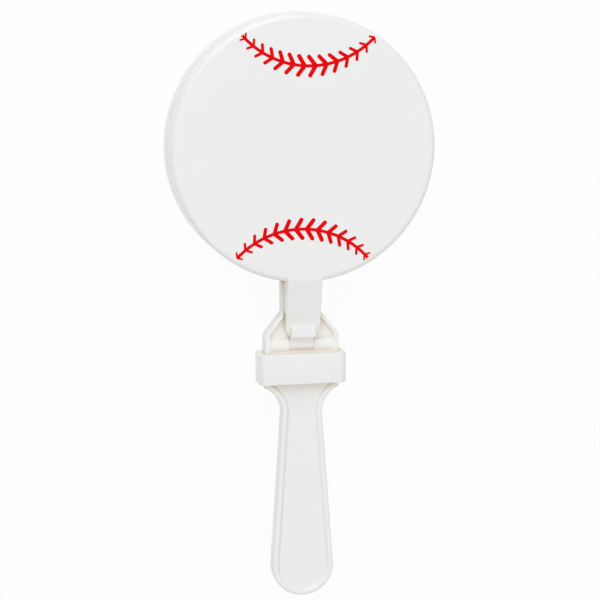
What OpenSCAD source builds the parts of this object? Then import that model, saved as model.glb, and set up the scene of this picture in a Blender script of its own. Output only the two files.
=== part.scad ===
// Hand clapper with two round paddles that carry a ball's stitched seams.
// The rear paddle is fixed to the handle, and the front paddle swings on a cross pin and claps on it.
// Millimetres. Origin: middle of the rear paddle's back face. +Y runs to the paddles' top, +Z to the front.

/* [Paddles] */
// Diameter of both paddles
paddle_d = 95; // [85:1:110]
// Depth of one paddle shell, from its face to its clapping rim
paddle_depth = 9.3; // [8:0.1:11]
// Gap between the clapping rims when closed
paddle_gap = 0.4; // [0.3:0.05:0.8]
// Thickness of a paddle's face
face_t = 2.2; // [1.6:0.1:3]
// Thickness of a paddle's skirt
skirt_t = 2.2; // [1.8:0.1:3]
// Rounding of a paddle's outer edge
edge_r = 1.6; // [0.4:0.1:1.8]

/* [Seam print] */
// Radius of a seam's curve as a share of the paddle's radius
seam_curve = 0.68; // [0.6:0.01:0.75]
// Nearest distance of a seam from the middle as a share of the paddle's radius
seam_near = 0.605; // [0.55:0.005:0.65]
// Half of the angle that a seam sweeps about its own centre
seam_half = 47; // [38:1:48]
// Angle that the line runs on beyond the first chevron
seam_tail = 3; // [0:0.5:6]
// Turn of the whole print on the paddle
seam_turn = 1.8; // [0:0.1:5]
// Shift of the whole print to the paddle's top
seam_shift = 0.4; // [0:0.1:0.4]
// Chevrons along one seam
stitch_count = 14; // [8:1:18]
// Length of a chevron's arm in the middle of a seam
stitch_l = 3.9; // [2:0.1:4.5]
// Width of a chevron's arm in the middle of a seam
stitch_w = 1.4; // [0.6:0.1:1.8]
// Angle between a chevron's arm and the seam line
stitch_angle = 56; // [45:1:75]
// Width of the seam line
line_w = 0.9; // [0.4:0.05:1.2]
// Depth that the print is stamped into the face
print_t = 0.25; // [0.15:0.05:0.5]

/* [Hinge] */
// Distance from a paddle's edge to the hinge pin's axis
hinge_drop = 23.6; // [22:0.1:28]
// Diameter of the hinge pin
pin_d = 3.6; // [3:0.1:3.8]
// Radial play of the hook on the pin
hinge_play = 0.1; // [0.05:0.01:0.2]
// Radial play of the pin in the yoke
pin_seat = 0.02; // [0.01:0.01:0.05]
// Width of the snap hook
hook_w = 8.8; // [6:0.1:10]
// Thickness of the snap hook's jaws
hook_t = 1; // [0.8:0.05:1]
// Clearance round the swinging hook
hook_clear = 0.3; // [0.25:0.05:0.5]
// Play of the hook on each side
side_play = 0.2; // [0.15:0.05:0.4]

/* [Front stem] */
// Width of the swinging stem
stem_w = 12.6; // [11:0.1:14]
// Thickness of the hollow stem's front
stem_t = 2.2; // [1.8:0.1:2.6]
// Thickness of the hollow stem's side walls
stem_wall = 1.8; // [1.4:0.1:2.4]
// Height of the stem's front over the hinge's axis, at the stop lug
stem_rise = 3.9; // [3.4:0.1:4.4]
// Width of the stop lug
lug_w = 9; // [6:0.1:11]
// Height of the stop lug along the stem
lug_h = 4; // [3:0.1:5]
// Height of the stop lug in front of the stem
lug_rise = 2.1; // [1.6:0.1:3]

/* [Yoke] */
// Width of the yoke across its posts
yoke_w = 27.1; // [25:0.1:30]
// Width of each post
post_w = 2.1; // [1.6:0.1:2.6]
// Width of the border along the sloping shoulders
shoulder_w = 1.5; // [1.2:0.1:2]
// Height of the sloping shoulders
shoulder_h = 8.1; // [7:0.1:10]
// Width of the fixed neck on each side of the swinging stem
neck_side = 0.9; // [0.5:0.1:1.2]
// Thickness of the yoke and the handle
body_t = 6; // [6:0.1:7]
// Depth of the yoke's recess round the stem
pocket_depth = 1.6; // [1.2:0.1:2]

/* [Collar] */
// Height of the collar
collar_h = 11.1; // [10:0.1:15]
// Thickness of the collar at its sides
collar_side_t = 2.3; // [1.5:0.1:3]
// Thickness of the collar at its front and back
collar_face_t = 2.9; // [1.5:0.1:3.4]
// Rounding of the collar's long edges
collar_r = 2; // [0.5:0.1:2.4]
// Fit of the collar on the yoke's root and the handle's tongue
collar_fit = 0.05; // [0.02:0.01:0.1]

/* [Handle] */
// Length of the handle below the collar
grip_l = 79.4; // [70:0.5:95]
// Width of the handle at its narrowest
grip_neck_w = 14.6; // [13:0.1:17]
// Diameter of the handle's round end
grip_end_d = 22.6; // [20:0.1:26]
// Radius of the flare under the collar
flare_r = 10; // [7:0.1:11]
// Width of the raised border
border_w = 1.7; // [1.2:0.1:2.5]
// Depth of the panel inside the border
panel_depth = 0.8; // [0.4:0.1:1.2]
// Diameter of the stud that locks the tongue to the yoke's root
stud_d = 5; // [4:0.1:6]

/* [Hidden] */
$fn = 96;
eps = 0.01;
paddle_r = paddle_d / 2;
stack_h = 2 * paddle_depth + paddle_gap;
mid_z = stack_h / 2;
pin_r = pin_d / 2;
bore_r = pin_r + hinge_play;
hook_r = bore_r + hook_t;
hook_sweep = hook_r + hook_clear;
hinge_y = -(paddle_r + hinge_drop);
back_z = mid_z - body_t / 2;
front_z = mid_z + body_t / 2;
pocket_z = front_z - pocket_depth;
under_z = pocket_z + 0.35;
stem_half = stem_w / 2;
path_half = stem_half + 0.4;
neck_half = stem_half + neck_side;
yoke_half = yoke_w / 2;
hook_half = hook_w / 2;
slot_half = hook_half + side_play;
shoulder_y = hinge_y + hook_r + 0.8;
apex_y = shoulder_y + shoulder_h;
slope = shoulder_h / (yoke_half - neck_half);
border_drop = shoulder_w * sqrt(1 + slope * slope);
collar_top_y = hinge_y - hook_r - 0.04;
collar_bot_y = collar_top_y - collar_h;
lap_y = hinge_y - hook_sweep - 2.5;
tongue_y = collar_bot_y + 0.6;
lap_gap = 0.1;
stud_y = (lap_y + tongue_y) / 2;
stud_play = 0.05;
flare_y = collar_bot_y - flare_r - 1;
grip_end_y = collar_bot_y - grip_l + grip_end_d / 2;
seam_r = seam_curve * paddle_r;
seam_y = seam_near * paddle_r + seam_r;
white = [0.95, 0.95, 0.93];
shade = [0.90, 0.90, 0.88];
red = [0.86, 0.10, 0.11];

// Shell of a paddle with its face down and its hollow side up.
module shell() {
    rotate_extrude()
        polygon(concat(
            [[0, face_t], [0, 0]],
            [for (i = [0:8]) [paddle_r - edge_r + edge_r * sin(i * 11.25), edge_r - edge_r * cos(i * 11.25)]],
            [[paddle_r, paddle_depth - 0.4], [paddle_r - 0.4, paddle_depth],
             [paddle_r - skirt_t, paddle_depth], [paddle_r - skirt_t, face_t]]));
}

// Side profile of points [y, z], drawn out to the given width across the part.
module across(width, points) {
    rotate([90, 0, 90])
        linear_extrude(width, center = true)
            polygon(points);
}

// Round bar along X on the hinge's axis.
module on_hinge(radius, width) {
    translate([0, hinge_y, mid_z])
        rotate([0, 90, 0])
            cylinder(r = radius, h = width, center = true);
}

// One arm of a chevron, from its point on the seam line, with a blunt tip.
module arm(turn, size) {
    length = stitch_l * size;
    half = stitch_w * size / 2;
    rotate(turn)
        polygon([[-line_w / 2, -half], [length - 0.6 * half, -half], [length + 0.2 * half, -0.8 * half],
            [length + 0.6 * half, 0], [length + 0.2 * half, 0.8 * half], [length - 0.6 * half, half],
            [-line_w / 2, half]]);
}

// Outline of the upper seam: a line with chevrons that point to the right.
module seam() {
    intersection() {
        circle(r = paddle_r - edge_r - 0.5);
        translate([0, seam_y])
            union() {
                intersection() {
                    difference() {
                        circle(r = seam_r + line_w / 2);
                        circle(r = seam_r - line_w / 2);
                    }
                    polygon([[0, 0], [-2 * seam_r * sin(seam_half), -2 * seam_r * cos(seam_half)],
                        [0, -3 * seam_r], [2 * seam_r * sin(seam_half), -2 * seam_r * cos(seam_half)]]);
                }
                for (i = [0:stitch_count - 1]) {
                    share = 2 * i / (stitch_count - 1) - 1;
                    size = 0.44 + 0.56 * cos(share * 90);
                    rotate(seam_half * share + seam_tail * (1 - share) / 2)
                        translate([0, -seam_r]) {
                            arm(180 - stitch_angle, size);
                            arm(180 + stitch_angle, size);
                        }
                }
            }
    }
}

// Stamped seam let into a face that lies at z = 0 and looks down. half_turn 180 gives the lower one.
module stamp(half_turn) {
    mirror([1, 0, 0])
        translate([0, seam_shift, 0])
            rotate(half_turn - seam_turn)
                linear_extrude(print_t)
                    seam();
}

// Everything of the front paddle's print, turned over to the front.
module to_front() {
    translate([0, 0, stack_h])
        rotate([0, 180, 0])
            children();
}

// Width outline of the swinging stem, which narrows to the hook in rounded corners.
module stem_outline() {
    top = -(paddle_r - 0.7 * skirt_t);
    side = hinge_y + 6.6;
    drop = 3;
    corner = [for (i = [0:6]) [hook_half + (stem_half - hook_half) * cos(i * 15), side - drop * sin(i * 15)]];
    mirrored = [for (i = [6:-1:0]) [-corner[i][0], corner[i][1]]];
    polygon(concat([[stem_half, top]], corner, [[hook_half, hinge_y], [-hook_half, hinge_y]], mirrored,
        [[-stem_half, top]]));
}

// Front paddle: shell, hollow sloping stem, snap hook with its mouth below and behind, and stop lug.
module front_paddle() {
    top = -(paddle_r - 0.7 * skirt_t);
    bend = -(paddle_r + 0.6);
    bend_z = stack_h - 0.35;
    hook_z = mid_z + hook_r;
    stem_z = mid_z + stem_rise;
    lug_y = hinge_y + 3;
    hollow_y = lug_y + lug_h + 1.2;
    roof_z = bend_z - stem_t;
    roof_end_z = roof_z - (bend_z - stem_z) * (bend - hollow_y) / (bend - lug_y);
    color(white)
        difference() {
            union() {
                to_front() shell();
                difference() {
                    intersection() {
                        across(stem_w + 1, [[top, stack_h - 0.02], [bend, bend_z], [lug_y, stem_z], [lug_y, hook_z],
                            [hinge_y, hook_z], [hinge_y, under_z], [top, under_z]]);
                        linear_extrude(stack_h + 5)
                            stem_outline();
                    }
                    across(stem_w - 2 * stem_wall, [[bend - 0.5, roof_z], [hollow_y, roof_end_z],
                        [hollow_y, under_z - 1], [bend - 0.5, under_z - 1]]);
                }
                across(lug_w, [[lug_y + lug_h + 0.9, stem_z], [lug_y + lug_h, stem_z + lug_rise],
                    [lug_y, stem_z + lug_rise], [lug_y, stem_z - 1], [lug_y + lug_h + 0.9, stem_z - 1]]);
                on_hinge(hook_r, hook_w);
            }
            on_hinge(bore_r, hook_w + 1);
            translate([0, hinge_y, mid_z])
                across(hook_w + 1, [for (p = [[0, 0], [150, 5], [190, 6], [235, 6], [275, 5]])
                    [p[1] * cos(p[0]), p[1] * sin(p[0])]]);
            to_front() stamp(0);
            to_front() stamp(180);
        }
}

// Outline of the yoke and its root, from the neck down.
module yoke_outline(bottom) {
    polygon([[neck_half, apex_y], [yoke_half, shoulder_y], [yoke_half, bottom],
        [-yoke_half, bottom], [-yoke_half, shoulder_y], [-neck_half, apex_y]]);
}

// Recess of the yoke inside its posts and shoulders, down to the collar.
module yoke_recess() {
    inner = yoke_half - post_w;
    low_y = apex_y - border_drop - (inner - neck_half) * slope;
    high_y = apex_y - border_drop - (path_half - neck_half) * slope;
    polygon([[inner, collar_top_y], [inner, low_y], [path_half, high_y],
        [-path_half, high_y], [-inner, low_y], [-inner, collar_top_y]]);
}

// Blank of the rear paddle: shell, neck, yoke and root, with the recess and the stem's path cut.
module rear_blank() {
    skirt_y = -(paddle_r - 0.6 * skirt_t);
    clear_y = -(paddle_r + 0.7);
    difference() {
        union() {
            shell();
            across(2 * neck_half, [[skirt_y, back_z], [skirt_y, paddle_depth], [clear_y, paddle_depth], [clear_y, pocket_z],
                [apex_y - eps, pocket_z], [apex_y - eps, back_z]]);
            translate([0, 0, back_z])
                linear_extrude(body_t)
                    yoke_outline(lap_y);
            translate([-yoke_half, tongue_y + lap_gap, mid_z])
                cube([yoke_w, lap_y - tongue_y - lap_gap + eps, body_t / 2]);
        }
        translate([0, 0, pocket_z])
            linear_extrude(body_t)
                yoke_recess();
        across(2 * path_half, [[clear_y, pocket_z], [clear_y, front_z + 1], [hinge_y + hook_sweep, front_z + 1],
            [hinge_y + hook_sweep, pocket_z]]);
    }
}

// Rear paddle: its blank with the round bar that holds the pin, the hook's slot, and the bores.
module rear_paddle() {
    color(white)
        difference() {
            union() {
                rear_blank();
                on_hinge(hook_r, yoke_w - 2 * post_w + 0.2);
            }
            translate([-slot_half, hinge_y - hook_sweep, back_z - 1])
                cube([2 * slot_half, 2 * hook_sweep, body_t + 2]);
            on_hinge(pin_r + pin_seat, yoke_w + 1);
            translate([0, stud_y, mid_z - 1])
                cylinder(d = stud_d + 2 * stud_play, h = body_t);
            stamp(0);
            stamp(180);
        }
}

// Cross pin that the hook turns on, flush with the yoke's sides.
module hinge_pin() {
    color(shade)
        on_hinge(pin_r, yoke_w);
}

// Rounded rectangle of exact arcs about the origin.
module round_rect(width, height, radius) {
    square([width - 2 * radius, height], center = true);
    square([width, height - 2 * radius], center = true);
    for (x = [-1, 1], y = [-1, 1])
        translate([x * (width / 2 - radius), y * (height / 2 - radius)])
            circle(r = radius);
}

// Sleeve that binds the yoke's root and the handle's tongue.
module collar() {
    inner_w = yoke_w + 2 * collar_fit;
    inner_t = body_t + 2 * collar_fit;
    color(white)
        translate([0, collar_top_y, mid_z])
            rotate([90, 0, 0])
                linear_extrude(collar_h)
                    difference() {
                        round_rect(inner_w + 2 * collar_side_t, inner_t + 2 * collar_face_t, collar_r);
                        square([inner_w, inner_t], center = true);
                    }
}

// Outline of the grip up to the given height, drawn in by the inset.
module grip_outline(inset, top) {
    neck = grip_neck_w / 2;
    end_r = grip_end_d / 2 - inset;
    translate([0, grip_end_y])
        circle(r = end_r);
    polygon([[neck - inset, flare_y], [end_r, grip_end_y], [-end_r, grip_end_y], [-neck + inset, flare_y]]);
    difference() {
        translate([-yoke_half + inset, flare_y])
            square([yoke_w - 2 * inset, top - flare_y]);
        for (x = [-1, 1])
            translate([x * (neck + flare_r), flare_y])
                circle(r = flare_r + inset);
    }
}

// Handle: flat grip with a raised border on both faces and a tongue with a locking stud.
module handle() {
    color(white)
        difference() {
            union() {
                translate([0, 0, back_z])
                    linear_extrude(body_t)
                        grip_outline(0, tongue_y);
                translate([-yoke_half, tongue_y - eps, back_z])
                    cube([yoke_w, lap_y - lap_gap - tongue_y + eps, body_t / 2]);
                translate([0, stud_y, mid_z - 1])
                    cylinder(d = stud_d, h = body_t / 2 + 1 - lap_gap);
            }
            for (z = [back_z - 1, front_z - panel_depth])
                translate([0, 0, z])
                    linear_extrude(panel_depth + 1)
                        grip_outline(border_w, collar_bot_y);
        }
}

module front_seam_upper() {
    color(red)
        to_front() stamp(0);
}

module front_seam_lower() {
    color(red)
        to_front() stamp(180);
}

module rear_seam_upper() {
    color(red)
        stamp(0);
}

module rear_seam_lower() {
    color(red)
        stamp(180);
}

handle();
collar();
rear_paddle();
hinge_pin();
front_paddle();
front_seam_upper();
front_seam_lower();
rear_seam_upper();
rear_seam_lower();
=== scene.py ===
"""Looks of a hand clapper whose two round paddles carry a ball's stitched seams.

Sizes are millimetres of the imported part's frame: the origin is the middle of the rear paddle's back
face, +Y runs to the paddles' top and +Z to the front. Meshes turn to metres when they become pieces.
Angles are degrees unless a name or comment says radians. The end of a name tells what it measures: _w,
_h, _l and _t a width, height, length and thickness, _r and _d a radius and a diameter, _y and _z a
place on that axis, _in and _out a distance inside and outside a paddle's rim, and _up a distance above
the hinge's axis.
"""

import logging
import math
from collections.abc import Sequence
from dataclasses import dataclass
from enum import Enum

import bmesh
import bpy
from mathutils import Matrix, Vector


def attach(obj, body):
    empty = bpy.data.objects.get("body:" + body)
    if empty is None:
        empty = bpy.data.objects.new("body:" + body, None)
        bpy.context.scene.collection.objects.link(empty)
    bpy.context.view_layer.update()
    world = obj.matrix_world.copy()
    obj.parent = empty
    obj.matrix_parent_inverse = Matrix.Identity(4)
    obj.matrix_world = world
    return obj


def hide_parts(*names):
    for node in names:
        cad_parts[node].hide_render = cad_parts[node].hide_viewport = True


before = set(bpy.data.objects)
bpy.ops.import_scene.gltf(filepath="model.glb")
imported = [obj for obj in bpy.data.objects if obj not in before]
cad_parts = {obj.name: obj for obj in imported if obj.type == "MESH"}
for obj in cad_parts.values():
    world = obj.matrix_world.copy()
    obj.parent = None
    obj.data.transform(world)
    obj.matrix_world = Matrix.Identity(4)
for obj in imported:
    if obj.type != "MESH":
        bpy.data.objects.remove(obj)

LOG = logging.getLogger("clapper")
MM = 0.001
# Distance under which two points of a mesh are one.
WELD = 1e-4
# Angle between two faces from which their edge is drawn sharp.
SHARP_DEG = 38.0
# Length that a cut reaches past what it cuts, or that a hidden end runs on inside another form.
PAST = 1.0
# Length that a joined solid reaches into what it joins, and the least that makes two forms overlap.
BITE = 0.1
TOUCH = 0.01
Point = tuple[float, float]


class Body(Enum):
    """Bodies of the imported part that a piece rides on."""

    FIXED = "handle_frame"
    SWING = "swing_paddle"


class Slot(Enum):
    """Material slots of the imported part's record."""

    PLASTIC = "white_plastic"
    PRINT = "red_print"


class Along(Enum):
    """Direction that a flat outline is drawn out in."""

    X = 0
    Z = 2


def linear(code: str) -> tuple[float, float, float, float]:
    """Turns an sRGB hex colour to the linear colour that a shader takes.

    Args:
        code: Colour as #RRGGBB.

    Returns:
        Linear red, green, blue and full alpha.
    """
    parts = [int(code[i:i + 2], 16) / 255 for i in (1, 3, 5)]
    red, green, blue = (c / 12.92 if c <= 0.04045 else ((c + 0.055) / 1.055) ** 2.4 for c in parts)
    return red, green, blue, 1.0


def add(tree: bpy.types.NodeTree, kind: str, links: dict | None = None, **settings: object) -> bpy.types.Node:
    """Adds one node with its settings, values and links.

    Args:
        tree: Tree that the node joins.
        kind: Blender's name of the node's type.
        links: Input's name or number to a value, or to the output that feeds it.
        settings: Properties of the node.

    Returns:
        The new node.
    """
    made = tree.nodes.new(kind)
    for key, value in settings.items():
        setattr(made, key, value)
    for key, value in (links or {}).items():
        if isinstance(value, bpy.types.NodeSocket):
            tree.links.new(value, made.inputs[key])
        else:
            made.inputs[key].default_value = value
    return made


def arc(centre: Point, radius: float, start: float, end: float, steps: int) -> list[Point]:
    """Points along an arc.

    Args:
        centre: Middle of the arc.
        radius: Radius of the arc.
        start: First angle in degrees.
        end: Last angle in degrees.
        steps: Steps between the two.

    Returns:
        The points, both ends included.
    """
    turns = [math.radians(start + (end - start) * i / steps) for i in range(steps + 1)]
    return [(centre[0] + radius * math.cos(t), centre[1] + radius * math.sin(t)) for t in turns]


def circle(centre: Point, radius: float, points: int = 144) -> list[Point]:
    """Points round a circle, evenly spaced.

    Args:
        centre: Middle of the circle.
        radius: Radius of the circle.
        points: How many points it has.

    Returns:
        The points.
    """
    return arc(centre, radius, 0, 360 - 360 / points, points - 1)


def rectangle(low: Point, high: Point) -> list[Point]:
    """Corners of a rectangle.

    Args:
        low: Corner with the lower values.
        high: Corner with the higher values.

    Returns:
        The four corners.
    """
    return [low, (high[0], low[1]), high, (low[0], high[1])]


def both_sides(right: Sequence[Point]) -> list[Point]:
    """Completes the right half of an outline.

    Args:
        right: Points (x, y) of the right half.

    Returns:
        The points, and their mirror images in reverse.
    """
    return [*right, *[(-x, y) for x, y in reversed(right)]]


def linked(name: str, data: bpy.types.ID) -> bpy.types.Object:
    """Makes an object of a mesh, lamp or camera and puts it into the scene.

    Args:
        name: Name of the object.
        data: What the object shows.

    Returns:
        The new object.
    """
    made = bpy.data.objects.new(name, data)
    bpy.context.scene.collection.objects.link(made)
    return made


def emptied_tree(owner: bpy.types.Material | bpy.types.World) -> bpy.types.NodeTree:
    """Gives a new material or world an empty node tree.

    Args:
        owner: The material or world.

    Returns:
        Its tree.
    """
    owner.use_nodes = True
    owner.node_tree.nodes.clear()
    return owner.node_tree


def piece(mesh: bpy.types.Mesh, name: str, finish: bpy.types.Material, body: Body, slot: Slot,
          *nodes: str) -> None:
    """Puts a finished mesh into the scene as a piece of the part.

    Args:
        mesh: Mesh in millimetres of the frame.
        name: Name of the piece.
        finish: Material of the piece.
        body: Body that it rides on.
        slot: Slot of the record that it takes its finish from; not used.
        nodes: Solids of the part that it stands for.
    """
    mesh.transform(Matrix.Scale(MM, 4))
    mesh.shade_smooth()
    mesh.set_sharp_from_angle(angle=math.radians(SHARP_DEG))
    mesh.materials.clear()
    mesh.materials.append(finish)
    mesh.name = name
    made = linked(name, mesh)
    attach(made, body.value)
    if nodes:
        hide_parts(*nodes)
    LOG.info("piece %s rides on %s, %d faces", name, body.value, len(mesh.polygons))


class Solid:
    """Closed mesh in millimetres that is cut, joined and softened before it becomes a piece."""

    def __init__(self, bm: bmesh.types.BMesh) -> None:
        """Closes the seams of a mesh, turns its faces outwards and takes it over.

        Args:
            bm: Mesh to take over, which is freed.
        """
        bmesh.ops.remove_doubles(bm, verts=bm.verts, dist=WELD)
        bmesh.ops.recalc_face_normals(bm, faces=bm.faces)
        self.mesh = bpy.data.meshes.new("solid")
        bm.to_mesh(self.mesh)
        bm.free()

    @classmethod
    def prism(cls, outline: Sequence[Point], low: float, high: float, along: Along) -> "Solid":
        """Draws a flat outline out to a solid.

        Args:
            outline: Corners, as (y, z) along X or (x, y) along Z.
            low: Where the solid starts on that axis.
            high: Where it ends.
            along: Axis that it is drawn along.

        Returns:
            The solid.
        """
        bm = bmesh.new()
        ends = []
        for level in (low, high):
            place = [(level, a, b) if along is Along.X else (a, b, level) for a, b in outline]
            ends.append([bm.verts.new(p) for p in place])
            bm.faces.new(ends[-1])
        for i, first in enumerate(ends[0]):
            j = (i + 1) % len(outline)
            bm.faces.new((first, ends[0][j], ends[1][j], ends[1][i]))
        return cls(bm)

    @classmethod
    def across(cls, outline: Sequence[Point], half: float) -> "Solid":
        """Draws an outline (y, z) out to both sides of the middle plane."""
        return cls.prism(outline, -half, half, Along.X)

    @classmethod
    def lathe(cls, profile: Sequence[Point], steps: int) -> "Solid":
        """Turns a profile about Z.

        Args:
            profile: Points (radius, z) from the axis round to the axis.
            steps: Steps of one turn.

        Returns:
            The solid.
        """
        bm = bmesh.new()
        rings = []
        for radius, z in profile:
            count = steps if radius > WELD else 1
            turns = [math.tau * i / steps for i in range(count)]
            rings.append([bm.verts.new((radius * math.cos(t), radius * math.sin(t), z)) for t in turns])
        for one, two in zip(rings, rings[1:]):
            for i in range(steps):
                j = i + 1
                corners = [one[i % len(one)], one[j % len(one)], two[j % len(two)], two[i % len(two)]]
                bm.faces.new(list(dict.fromkeys(corners)))
        return cls(bm)

    @classmethod
    def sweep(cls, loops: Sequence[Sequence[Vector]]) -> "Solid":
        """Joins closed loops one after the other, and the last to the first.

        Args:
            loops: Loops of the same number of points.

        Returns:
            A closed ring-shaped solid.
        """
        bm = bmesh.new()
        rings = [[bm.verts.new(p) for p in loop] for loop in loops]
        for one, two in zip(rings, rings[1:] + rings[:1]):
            for i, corner in enumerate(one):
                j = (i + 1) % len(one)
                bm.faces.new((corner, one[j], two[j], two[i]))
        return cls(bm)

    def _run(self, *steps: tuple[str, dict[str, object]]) -> "Solid":
        """Runs modifiers over the mesh and keeps their result.

        Args:
            steps: Kind and settings of each modifier.

        Returns:
            This solid.
        """
        carrier = linked("carrier", self.mesh)
        for kind, settings in steps:
            modifier = carrier.modifiers.new(kind, kind)
            for key, value in settings.items():
                setattr(modifier, key, value)
        graph = bpy.context.evaluated_depsgraph_get()
        self.mesh = bpy.data.meshes.new_from_object(carrier.evaluated_get(graph))
        bpy.data.objects.remove(carrier)
        return self

    def _with(self, other: "Solid", operation: str) -> "Solid":
        """Runs a boolean with another solid.

        Args:
            other: The other solid.
            operation: Blender's name of the boolean.

        Returns:
            This solid.
        """
        tool = linked("tool", other.mesh)
        self._run(("BOOLEAN", {"object": tool, "operation": operation, "solver": "EXACT"}))
        bpy.data.objects.remove(tool)
        return self

    def join(self, other: "Solid") -> "Solid":
        """Joins another solid to this one."""
        return self._with(other, "UNION")

    def cut(self, other: "Solid") -> "Solid":
        """Cuts another solid out of this one."""
        return self._with(other, "DIFFERENCE")

    def common(self, other: "Solid") -> "Solid":
        """Keeps what this solid shares with another."""
        return self._with(other, "INTERSECT")

    def mould(self, voxel: float, passes: int) -> "Solid":
        """Rounds every edge and fills every corner a little, as a moulding tool does."""
        return self._run(("REMESH", {"mode": "VOXEL", "voxel_size": voxel}),
                         ("SMOOTH", {"factor": 0.5, "iterations": passes}))

    def beside(self, other: "Solid") -> "Solid":
        """Takes another solid's faces into the same mesh, as they are.

        Args:
            other: The other solid.

        Returns:
            This solid.
        """
        bm = bmesh.new()
        bm.from_mesh(self.mesh)
        bm.from_mesh(other.mesh)
        bm.to_mesh(self.mesh)
        bm.free()
        return self

    def placed(self, place: Matrix) -> "Solid":
        """Moves or turns the solid."""
        self.mesh.transform(place)
        return self


@dataclass(frozen=True)
class MouldedPolystyrene:
    """White high-impact polystyrene, injection moulded in a polished tool."""

    # A near-white body with a soft gloss, and the slow waves that a thin moulding takes as it
    # cools, with a fine orange peel over them. Corners and hollows get a painted creamy, darker shade where
    # they see little open air, in place of the warm shade that gathers there.
    light: str = "#F9F6F0"
    deep: str = "#F5F2EB"
    # Colour of the painted shade in corners and hollows: creamy and a little darker than the body.
    corner: str = "#F0DDBC"
    painted_shade_mm: float = 5.0
    # Share of open air at which the painted corner shade is strongest and at which it ends, and the body
    # colour it keeps.
    painted_shade_air: tuple[float, float] = (0.3, 0.88)
    painted_shade_keep: float = 0.45
    cloud_mm: float = 22.0
    wave_mm: float = 34.0
    wave_rise_mm: float = 0.3
    wave_share: float = 0.35
    peel_mm: float = 1.1
    peel_rise_mm: float = 0.05
    peel_share: float = 0.1
    scuff_mm: float = 6.0
    scuff_turn_radians: float = 0.5
    scuff_draw: float = 0.12
    scuff_span: tuple[float, float] = (0.3, 0.7)
    roughness: tuple[float, float] = (0.2, 0.25)
    ior: float = 1.59
    shine: float = 0.4
    blend_mm: float = 0.3
    glow: float = 0.1
    glow_mm: float = 1.2
    glow_tint: tuple[float, float, float] = (1.0, 0.7, 0.45)

    def material(self) -> bpy.types.Material:
        """Builds the material.

        Returns:
            The material, ready for any white piece.
        """
        made = bpy.data.materials.new("moulded_white_polystyrene")
        tree = emptied_tree(made)
        place = add(tree, "ShaderNodeTexCoord").outputs["Object"]
        cloud = add(tree, "ShaderNodeTexNoise", {"Vector": place, "Detail": 3.0,
                                                 "Scale": 1 / (self.cloud_mm * MM)})
        body = add(tree, "ShaderNodeMix", {0: cloud.outputs["Fac"], 6: linear(self.deep),
                                           7: linear(self.light)}, data_type="RGBA")
        # Painted shade: the base colour turns towards the creamy corner colour where a point sees little open
        # air.
        open_air = add(tree, "ShaderNodeAmbientOcclusion", {"Distance": self.painted_shade_mm * MM}, samples=6)
        share = add(tree, "ShaderNodeMapRange", {"Value": open_air.outputs["AO"],
                                                 "From Min": self.painted_shade_air[0],
                                                 "From Max": self.painted_shade_air[1],
                                                 "To Min": self.painted_shade_keep, "To Max": 1.0})
        tint = add(tree, "ShaderNodeMix", {0: share.outputs[0], 6: linear(self.corner), 7: body.outputs[2]},
                   data_type="RGBA")
        wave = add(tree, "ShaderNodeTexNoise", {"Vector": place, "Detail": 1.0,
                                                "Scale": 1 / (self.wave_mm * MM)})
        soft = add(tree, "ShaderNodeBevel", {"Radius": self.blend_mm * MM}, samples=6)
        slow = add(tree, "ShaderNodeBump", {"Height": wave.outputs["Fac"], "Strength": self.wave_share,
                                            "Distance": self.wave_rise_mm * MM,
                                            "Normal": soft.outputs["Normal"]})
        # The real peel is finer than a pixel of the picture, so it is drawn about twice as coarse.
        peel = add(tree, "ShaderNodeTexNoise", {"Vector": place, "Detail": 2.0,
                                                "Scale": 1 / (self.peel_mm * MM)})
        fine = add(tree, "ShaderNodeBump", {"Height": peel.outputs["Fac"], "Strength": self.peel_share,
                                            "Distance": self.peel_rise_mm * MM,
                                            "Normal": slow.outputs["Normal"]})
        drawn = add(tree, "ShaderNodeMapping", {"Vector": place, "Scale": (1.0, self.scuff_draw, 1.0),
                                                "Rotation": (0.0, 0.0, self.scuff_turn_radians)})
        scuff = add(tree, "ShaderNodeTexNoise", {"Vector": drawn.outputs["Vector"],
                                                 "Scale": 1 / (self.scuff_mm * MM),
                                                 "Detail": 6.0, "Roughness": 0.7})
        rough = add(tree, "ShaderNodeMapRange", {"Value": scuff.outputs["Fac"],
                                                 "From Min": self.scuff_span[0],
                                                 "From Max": self.scuff_span[1],
                                                 "To Min": self.roughness[0], "To Max": self.roughness[1]})
        skin = add(tree, "ShaderNodeBsdfPrincipled", {"Base Color": tint.outputs[2], "IOR": self.ior,
                                                      "Specular IOR Level": self.shine,
                                                      "Roughness": rough.outputs["Result"],
                                                      "Normal": fine.outputs["Normal"],
                                                      "Subsurface Weight": self.glow,
                                                      "Subsurface Scale": self.glow_mm * MM,
                                                      "Subsurface Radius": self.glow_tint})
        add(tree, "ShaderNodeOutputMaterial", {"Surface": skin.outputs["BSDF"]})
        return made


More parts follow.
